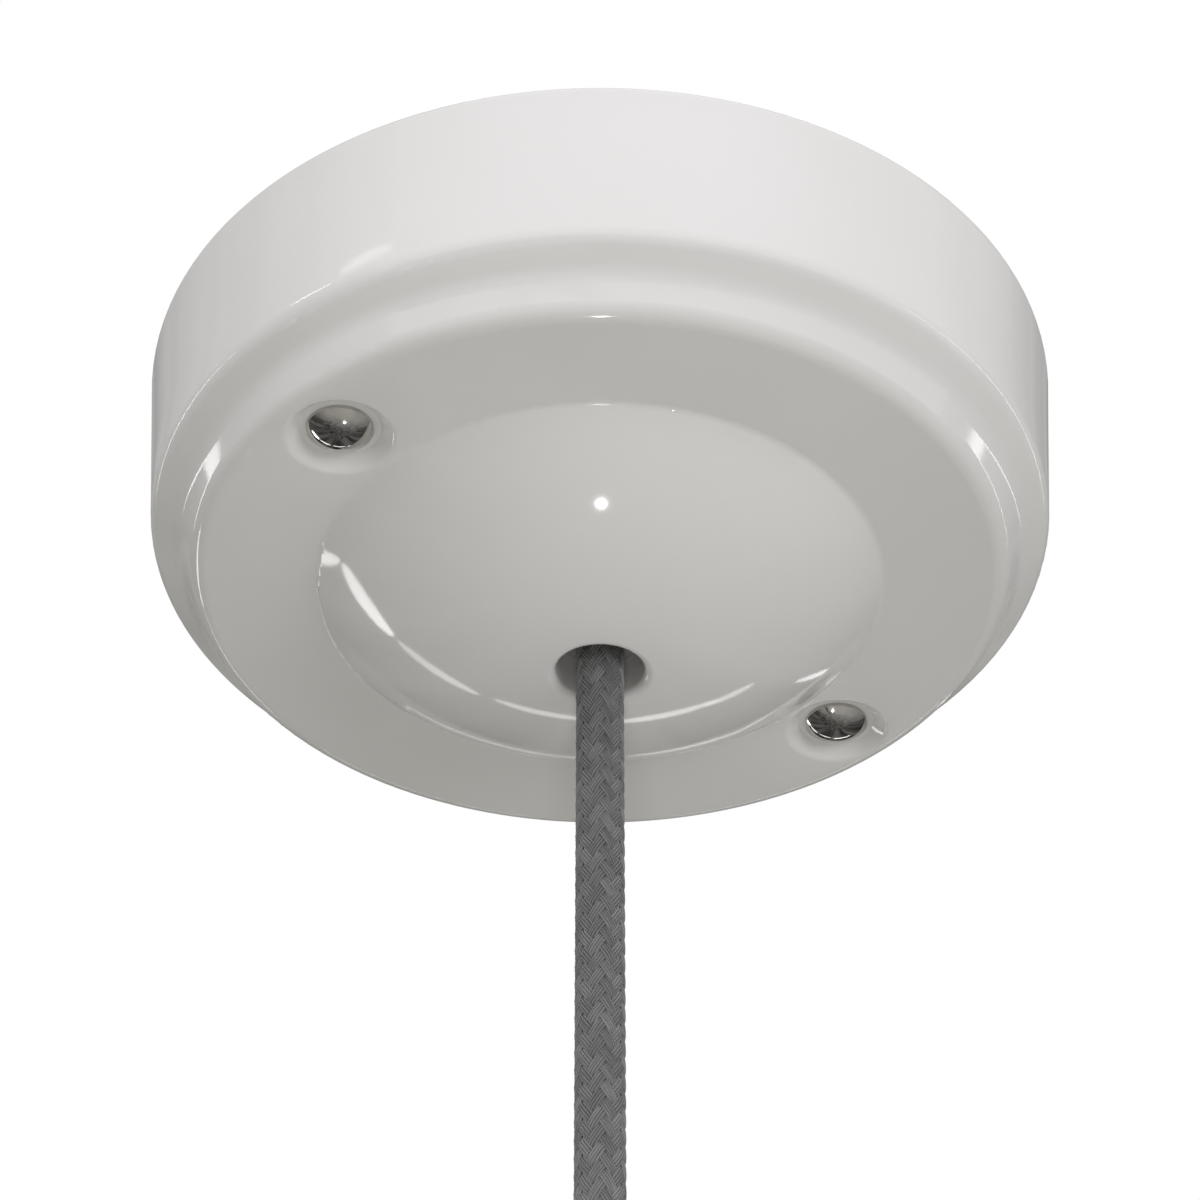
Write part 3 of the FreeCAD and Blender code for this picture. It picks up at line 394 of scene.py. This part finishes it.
copper, copper_shader = start_material("copper_strand", roughness=0.3, metallic=1.0)
copper_cloud = noise(copper, scale=600.0)
mottle(copper, copper_shader, copper_cloud, dark=(0.64, 0.3, 0.16), light=(0.8, 0.42, 0.25))
dress("core_tips", copper)

tinned, tinned_shader = start_material("tinned_copper", metallic=1.0)
tinned_cloud = noise(tinned, scale=500.0)
mottle(tinned, tinned_shader, tinned_cloud, dark=(0.6, 0.6, 0.59), light=(0.76, 0.76, 0.75))
vary_gloss(tinned, tinned_shader, tinned_cloud, low=0.24, high=0.42)
dress("tail_ferrules", tinned)

sleeve_skin, sleeve_shader = start_material("shrink_sleeve", roughness=0.5)
sleeve_cloud = noise(sleeve_skin, scale=420.0)
mottle(sleeve_skin, sleeve_shader, sleeve_cloud, dark=(0.045, 0.045, 0.045), light=(0.075, 0.075, 0.075))
add_bump(sleeve_skin, sleeve_shader, sleeve_cloud, depth=0.00015)
dress("cord_end_sleeve", sleeve_skin)


# Porcelain rose
# One slip-cast shell, fired with a white gloss glaze. The rim that meets the ceiling is rolled over
# in fine even steps between the outer and the inner wall. It is wiped before firing and stays matt.
ROSE_DIAMETER = 0.117
WALL_DRAFT = radians(3.8)
WALL_THICKNESS = 0.0048
RIM_ROUNDING = 0.001
RIM_STEPS = 10
RIM_CUT = -0.0015
MERGE_DISTANCE = 0.000001
SHARP_EDGE = radians(35)
GLAZE_ROUGHNESS = 0.07
WIPED_ROUGHNESS = 0.55
GLAZE_ENDS = -0.0004
WIPED_BEGINS = -0.0001

# Distances from the axis to the centres of the rim's two roundings, and to the middle between them.
outer_roll = ROSE_DIAMETER / 2 - RIM_ROUNDING * (tan(WALL_DRAFT) + 1 / cos(WALL_DRAFT))
inner_roll = ROSE_DIAMETER / 2 - WALL_THICKNESS / cos(WALL_DRAFT) - RIM_ROUNDING * (
    tan(WALL_DRAFT) - 1 / cos(WALL_DRAFT))
wall_middle = (outer_roll + inner_roll) / 2


def open_merged_copy(name, node):
    """A copy of a CAD piece with its triangles merged, left in edit mode with all of it selected."""
    piece = bpy.data.objects.new(name, cad[node].data.copy())
    bpy.context.collection.objects.link(piece)
    select_only(piece)
    bpy.ops.mesh.customdata_custom_splitnormals_clear()
    bpy.ops.object.mode_set(mode="EDIT")
    bpy.ops.mesh.select_all(action="SELECT")
    bpy.ops.mesh.remove_doubles(threshold=MERGE_DISTANCE)
    return piece


rose = open_merged_copy("rose_shell", "rose_body")
bpy.ops.mesh.bisect(plane_co=(0.0, 0.0, RIM_CUT), plane_no=(0.0, 0.0, 1.0), clear_outer=True)


def select_rim(inside, outside):
    """Selects the open edges of the shell that lie between two distances from the axis."""
    bpy.ops.mesh.select_all(action="DESELECT")
    shape = bmesh.from_edit_mesh(rose.data)
    for edge in shape.edges:
        if edge.is_boundary and all(inside < end.co.xy.length < outside for end in edge.verts):
            edge.select_set(True)
    bmesh.update_edit_mesh(rose.data)


def roll_rim(centre, first, last, radius, height):
    """Carries the selected ring round one edge of the rim, and returns where it ends."""
    for step in range(RIM_STEPS + 1):
        turn = first + (last - first) * step / RIM_STEPS
        next_radius = centre + RIM_ROUNDING * cos(turn)
        next_height = RIM_ROUNDING * (sin(turn) - 1)
        bpy.ops.mesh.extrude_edges_indiv()
        bpy.ops.transform.translate(value=(0.0, 0.0, next_height - height))
        scale = next_radius / radius
        bpy.ops.transform.resize(value=(scale, scale, 1.0), center_override=(0.0, 0.0, next_height))
        radius, height = next_radius, next_height
    return radius, height


outer_edge = ROSE_DIAMETER / 2 + RIM_CUT * tan(WALL_DRAFT)
select_rim(wall_middle, ROSE_DIAMETER)
top_edge, top_height = roll_rim(outer_roll, -WALL_DRAFT, pi / 2, outer_edge, RIM_CUT)
roll_rim(inner_roll, pi / 2, pi - WALL_DRAFT, top_edge, top_height)
select_rim(0.0, ROSE_DIAMETER)
bpy.ops.mesh.bridge_edge_loops()
bpy.ops.mesh.select_all(action="SELECT")
bpy.ops.mesh.normals_make_consistent(inside=False)
bpy.ops.object.mode_set(mode="OBJECT")
bpy.ops.object.shade_smooth_by_angle(angle=SHARP_EDGE)

porcelain, porcelain_shader = start_material("white_glaze")
porcelain_shader.inputs["IOR"].default_value = 1.5
glaze_cloud = noise(porcelain, scale=22.0, detail=2.0)
glaze_waves = noise(porcelain, scale=45.0, detail=1.0)
glaze_place = add_node(porcelain, "TexCoord")
glaze_height = add_node(porcelain, "SeparateXYZ")
link(porcelain, glaze_place.outputs["Object"], glaze_height.inputs["Vector"])
glaze_gloss = spread(porcelain, glaze_height.outputs["Z"], GLAZE_ROUGHNESS, WIPED_ROUGHNESS,
                     start=GLAZE_ENDS, end=WIPED_BEGINS)
link(porcelain, glaze_gloss, porcelain_shader.inputs["Roughness"])
mottle(porcelain, porcelain_shader, glaze_cloud, dark=(0.845, 0.84, 0.82), light=(0.87, 0.866, 0.85))
add_bump(porcelain, porcelain_shader, glaze_waves, depth=0.00012)
cover(rose, porcelain)

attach(rose, "root")
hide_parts("rose_body")


# Fixing screws
# Two M4 screws of zinc-plated steel, which pass through the porcelain and draw it up to the ends of
# the strap. The thread is rolled over the whole shank and ends in a small chamfer.
SCREW_DIAMETER = 0.004
SCREW_LENGTH = 0.025
SCREW_CHAMFER = 0.0004
THREAD_PITCH = 0.0007
THREAD_DEPTH = 0.00043
THREAD_CREST = THREAD_PITCH / 8
THREAD_ROOT = THREAD_PITCH / 4
THREAD_FLANK = (THREAD_PITCH - THREAD_CREST - THREAD_ROOT) / 2
THREAD_STEPS = 24
SPARE_TURNS = 2
CUT_TOLERANCE = 0.0000001

# Steps outwards and upwards along one turn's profile, from the foot of the root.
thread_profile = (
    (0.0, THREAD_ROOT),
    (THREAD_DEPTH, THREAD_FLANK),
    (0.0, THREAD_CREST),
    (-THREAD_DEPTH, THREAD_FLANK),
)

# The box's far corner gives the tip's height and, less the head's radius, the screw's distance
# from the axis.
screw_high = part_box("fixing_screws")[1]
screw_reach = screw_high[0] - screw_high[1]
screw_tip = screw_high[2]
thread_start = screw_tip - SCREW_LENGTH + THREAD_PITCH

select_only()
bpy.ops.mesh.primitive_plane_add(size=THREAD_PITCH)
screws = bpy.context.active_object
screws.name = "threaded_screws"
bpy.ops.object.mode_set(mode="EDIT")
bpy.ops.mesh.select_all(action="SELECT")
bpy.ops.mesh.merge(type="CENTER")
bpy.ops.transform.translate(value=(SCREW_DIAMETER / 2 - THREAD_DEPTH, 0.0, thread_start - THREAD_PITCH))
for out, up in thread_profile:
    bpy.ops.mesh.extrude_verts_indiv()
    bpy.ops.transform.translate(value=(out, 0.0, up))
bpy.ops.object.mode_set(mode="OBJECT")
winding = screws.modifiers.new("winding", "SCREW")
winding.axis = "Z"
winding.screw_offset = THREAD_PITCH
winding.iterations = int(SCREW_LENGTH / THREAD_PITCH) + SPARE_TURNS
winding.steps = THREAD_STEPS
winding.render_steps = THREAD_STEPS
bpy.ops.object.modifier_apply(modifier="winding")


def cut_level(height, **side):
    """Cuts the mesh in edit mode level at this height, drops one side and closes the cut."""
    bpy.ops.mesh.select_all(action="SELECT")
    bpy.ops.mesh.bisect(
        plane_co=(0.0, 0.0, height), plane_no=(0.0, 0.0, 1.0), use_fill=True,
        threshold=CUT_TOLERANCE, **side)


bpy.ops.object.mode_set(mode="EDIT")
bpy.ops.mesh.select_all(action="SELECT")
bpy.ops.mesh.remove_doubles(threshold=MERGE_DISTANCE)
cut_level(thread_start, clear_inner=True)
cut_level(screw_tip, clear_outer=True)
bpy.ops.mesh.select_all(action="SELECT")
bpy.ops.mesh.normals_make_consistent(inside=False)
bpy.ops.object.mode_set(mode="OBJECT")

# The chamfer draws in what lies outside a cone at the tip.
for vertex in screws.data.vertices:
    limit = SCREW_DIAMETER / 2 - max(0.0, vertex.co.z - screw_tip + SCREW_CHAMFER)
    reach = vertex.co.xy.length
    if reach > limit:
        vertex.co.x *= limit / reach
        vertex.co.y *= limit / reach
bpy.ops.object.mode_set(mode="EDIT")
bpy.ops.mesh.select_all(action="SELECT")
bpy.ops.transform.translate(value=(screw_reach, 0.0, 0.0))
bpy.ops.mesh.duplicate()
bpy.ops.transform.translate(value=(-2 * screw_reach, 0.0, 0.0))
bpy.ops.object.mode_set(mode="OBJECT")

# The slotted heads, with a short stub that reaches into the thread.
heads = open_merged_copy("screw_heads", "fixing_screws")
cut_level(thread_start + THREAD_PITCH, clear_outer=True)
bpy.ops.object.mode_set(mode="OBJECT")
select_only(heads, screws)
bpy.ops.object.join()
bpy.ops.object.shade_smooth_by_angle(angle=SHARP_EDGE)
cover(screws, zinc)

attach(screws, "root")
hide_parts("fixing_screws")


# Screw caps
# Smooth domes, nickel plated and polished, pressed over the heads of the two screws
# that draw the rose up to the strap.
nickel, nickel_shader = start_material("polished_nickel", roughness=0.09, metallic=1.0)
nickel_cloud = noise(nickel, scale=700.0)
mottle(nickel, nickel_shader, nickel_cloud, dark=(0.52, 0.505, 0.48), light=(0.59, 0.575, 0.55))
dress("screw_caps", nickel)


# Camera
# Below the ceiling, looking up past the cord. The line through the two caps runs from near left
# to far right.
CAPS_LINE = radians(43.2)
LOOK_UP = radians(38.84)
CAMERA_DISTANCE = 0.48105
AIM_BELOW_FACE = 0.0011
FACE_HEIGHT = -0.0304
LENS_MM = 114.47
SENSOR_MM = 36.0
NEAREST_SEEN = 0.01

image_right = Vector((cos(CAPS_LINE), -sin(CAPS_LINE), 0.0))
ahead_level = Vector((sin(CAPS_LINE), cos(CAPS_LINE), 0.0))
upward = Vector((0.0, 0.0, 1.0))
face_centre = upward * FACE_HEIGHT
look = ahead_level * cos(LOOK_UP) + upward * sin(LOOK_UP)
image_up = -ahead_level * sin(LOOK_UP) + upward * cos(LOOK_UP)
camera_data = bpy.data.cameras.new("camera")
camera_data.lens = LENS_MM
camera_data.sensor_width = SENSOR_MM
camera_data.clip_start = NEAREST_SEEN
camera = bpy.data.objects.new("camera", camera_data)
camera.location = face_centre - image_up * AIM_BELOW_FACE - look * CAMERA_DISTANCE
camera.rotation_euler = look.to_track_quat("-Z", "Y").to_euler()
bpy.context.collection.objects.link(camera)
bpy.context.scene.camera = camera


# Studio
# A pale floor well below, a white background, two broad soft lamps in front and a small lamp close
# below. Round the rose stand a dark backdrop and ten strips of light, which only show in reflections.
FLOOR_HEIGHT = -0.9
FLOOR_SIZE = 6.0
AMBIENT = 0.5
COOL = (0.975, 0.95, 1.0)
STRIP_REACH = 0.55
BACKDROP_RADIUS = 0.7
BACKDROP_SIDES = 64
BACKDROP_FRONT = -0.25
BACKDROP_SOFT = 0.5
BACKDROP_TOP = 3.0
BACKDROP_ABOVE_FLOOR = 0.02
BACKDROP_TURN = radians(20)

select_only()
bpy.ops.mesh.primitive_plane_add(size=FLOOR_SIZE, location=(0.0, 0.0, FLOOR_HEIGHT))
floor = bpy.context.active_object
floor.name = "floor"
floor_paint, floor_shader = start_material("floor_paint", roughness=0.6)
floor_shader.inputs["Base Color"].default_value = (0.59, 0.58, 0.54, 1.0)
cover(floor, floor_paint)

# The background is white to the camera and in reflections, and gives less light than it shows.
world = bpy.data.worlds.new("white_room")
world.use_nodes = True
bpy.context.scene.world = world
sky = world.node_tree.nodes["Background"]
sky.inputs["Color"].default_value = (1.0, 1.0, 1.0, 1.0)
rays = add_node(world, "LightPath")
seen = add_math(world, "MAXIMUM", rays.outputs["Is Camera Ray"], rays.outputs["Is Glossy Ray"])
link(world, spread(world, seen, AMBIENT, 1.0, start=0.0, end=1.0), sky.inputs["Strength"])


def add_lamp(name, right, ahead, up, width, height, power, tint=(1.0, 1.0, 1.0)):
    """An area lamp turned to the rose. Its place is given along the camera's level directions and the
    vertical."""
    data = bpy.data.lights.new(name, "AREA")
    data.shape = "ELLIPSE"
    data.size = width
    data.size_y = height
    data.energy = power
    data.color = tint
    lamp = bpy.data.objects.new(name, data)
    lamp.location = image_right * right + ahead_level * ahead + upward * up
    lamp.rotation_euler = (face_centre - lamp.location).to_track_quat("-Z", "Y").to_euler()
    lamp.visible_camera = False
    bpy.context.collection.objects.link(lamp)
    return lamp


low_key = add_lamp(
    "low_key", right=0.7, ahead=-0.9, up=-0.3, width=0.7, height=0.5, power=3.95, tint=COOL)
high_key = add_lamp(
    "high_key", right=-0.45, ahead=-0.97, up=0.55, width=0.9, height=0.5, power=4.9, tint=COOL)
for key in (low_key, high_key):
    key.visible_glossy = False
add_lamp("small_lamp", right=0.0, ahead=-0.0492, up=-0.2, width=0.0065, height=0.0065, power=0.024)


def add_strip(name, first, last, rise, height, glow):
    """A level strip of light round the rose, from one heading to another in degrees to the right of the
    view, at a rise in degrees, of a height in degrees."""
    heading = radians((first + last) / 2)
    width = 2 * STRIP_REACH * tan(radians(last - first) / 2)
    tall = STRIP_REACH * radians(height)
    up = FACE_HEIGHT + STRIP_REACH * tan(radians(rise))
    area = pi / 4 * width * tall
    strip = add_lamp(name, STRIP_REACH * sin(heading), STRIP_REACH * cos(heading), up, width, tall,
                     power=glow * pi * area)
    strip.visible_diffuse = False


add_strip("window_left_near", first=-95.0, last=-54.0, rise=10.0, height=3.0, glow=5.0)
add_strip("window_behind_left", first=-132.0, last=-118.0, rise=33.2, height=1.3, glow=2.8)
add_strip("window_beside_left", first=-118.0, last=-106.0, rise=28.0, height=4.0, glow=7.0)
add_strip("window_left", first=-55.0, last=-37.0, rise=-15.5, height=5.0, glow=6.0)
add_strip("window_left_far", first=-36.0, last=-19.0, rise=-16.0, height=3.4, glow=2.6)
add_strip("window_ahead_left", first=-17.0, last=0.0, rise=-17.0, height=2.8, glow=2.6)
add_strip("window_ahead_right", first=2.0, last=18.0, rise=-15.0, height=3.2, glow=3.0)
add_strip("window_right_far", first=16.0, last=24.0, rise=-14.0, height=2.6, glow=2.6)
add_strip("window_right_tall", first=23.5, last=25.0, rise=6.0, height=12.0, glow=2.5)
add_strip("window_right", first=50.0, last=115.0, rise=8.0, height=2.0, glow=5.0)

# The backdrop is part of an upright cylinder, open towards the camera and at the top.
backdrop_side = ahead_level * cos(BACKDROP_TURN) - image_right * sin(BACKDROP_TURN)
backdrop_middle = FLOOR_HEIGHT + BACKDROP_ABOVE_FLOOR + BACKDROP_TOP
select_only()
bpy.ops.mesh.primitive_cylinder_add(
    vertices=BACKDROP_SIDES, radius=BACKDROP_RADIUS, depth=2 * BACKDROP_TOP, end_fill_type="NGON",
    location=(0.0, 0.0, backdrop_middle))
backdrop = bpy.context.active_object
backdrop.name = "backdrop"
bpy.ops.object.mode_set(mode="EDIT")
bpy.ops.mesh.select_all(action="SELECT")
bpy.ops.mesh.bisect(
    plane_co=tuple(backdrop_side * BACKDROP_FRONT), plane_no=tuple(backdrop_side), clear_inner=True)
bpy.ops.mesh.select_all(action="SELECT")
bpy.ops.mesh.bisect(plane_co=(0.0, 0.0, BACKDROP_TOP), plane_no=tuple(upward), clear_outer=True)
bpy.ops.object.mode_set(mode="OBJECT")
bpy.ops.object.transform_apply(location=True, rotation=True, scale=True)

# Its glow grows from the ceiling's height upwards and is stronger at the front edges than ahead,
# with faint upright bars.
backdrop_paint, backdrop_shader = start_material("backdrop_paint", roughness=1.0)
backdrop_shader.inputs["Base Color"].default_value = (0.0, 0.0, 0.0, 1.0)
backdrop_shader.inputs["Specular IOR Level"].default_value = 0.0
backdrop_shader.inputs["Emission Color"].default_value = (1.0, 0.985, 0.96, 1.0)
backdrop_place = add_node(backdrop_paint, "TexCoord")
backdrop_height = add_node(backdrop_paint, "SeparateXYZ")
link(backdrop_paint, backdrop_place.outputs["Object"], backdrop_height.inputs["Vector"])
backdrop_reach = add_node(backdrop_paint, "VectorMath")
backdrop_reach.operation = "DOT_PRODUCT"
backdrop_reach.inputs[1].default_value = backdrop_side
link(backdrop_paint, backdrop_place.outputs["Object"], backdrop_reach.inputs[0])
edge_share = spread(backdrop_paint, backdrop_reach.outputs["Value"], 1.0, 0.0,
                    start=BACKDROP_FRONT, end=BACKDROP_FRONT + BACKDROP_SOFT)
ahead_tone = spread(backdrop_paint, backdrop_height.outputs["Z"], 0.0, 0.22, start=0.0, end=0.45)
edge_tone = spread(backdrop_paint, backdrop_height.outputs["Z"], 0.3, 0.8, start=0.0, end=0.3)
backdrop_blend = add_node(backdrop_paint, "Mix")
link(backdrop_paint, edge_share, backdrop_blend.inputs[0])
link(backdrop_paint, ahead_tone, backdrop_blend.inputs[2])
link(backdrop_paint, edge_tone, backdrop_blend.inputs[3])
backdrop_bars = noise(backdrop_paint, scale=11.0, detail=3.0, stretch=(1.0, 1.0, 0.05))
bar_tone = spread(backdrop_paint, backdrop_bars, 0.02, 0.17)
backdrop_tone = add_math(backdrop_paint, "ADD", backdrop_blend.outputs[0], bar_tone)
link(backdrop_paint, backdrop_tone, backdrop_shader.inputs["Emission Strength"])
cover(backdrop, backdrop_paint)
backdrop.visible_camera = False
backdrop.visible_diffuse = False
backdrop.visible_shadow = False

bpy.context.scene.view_settings.view_transform = "Standard"
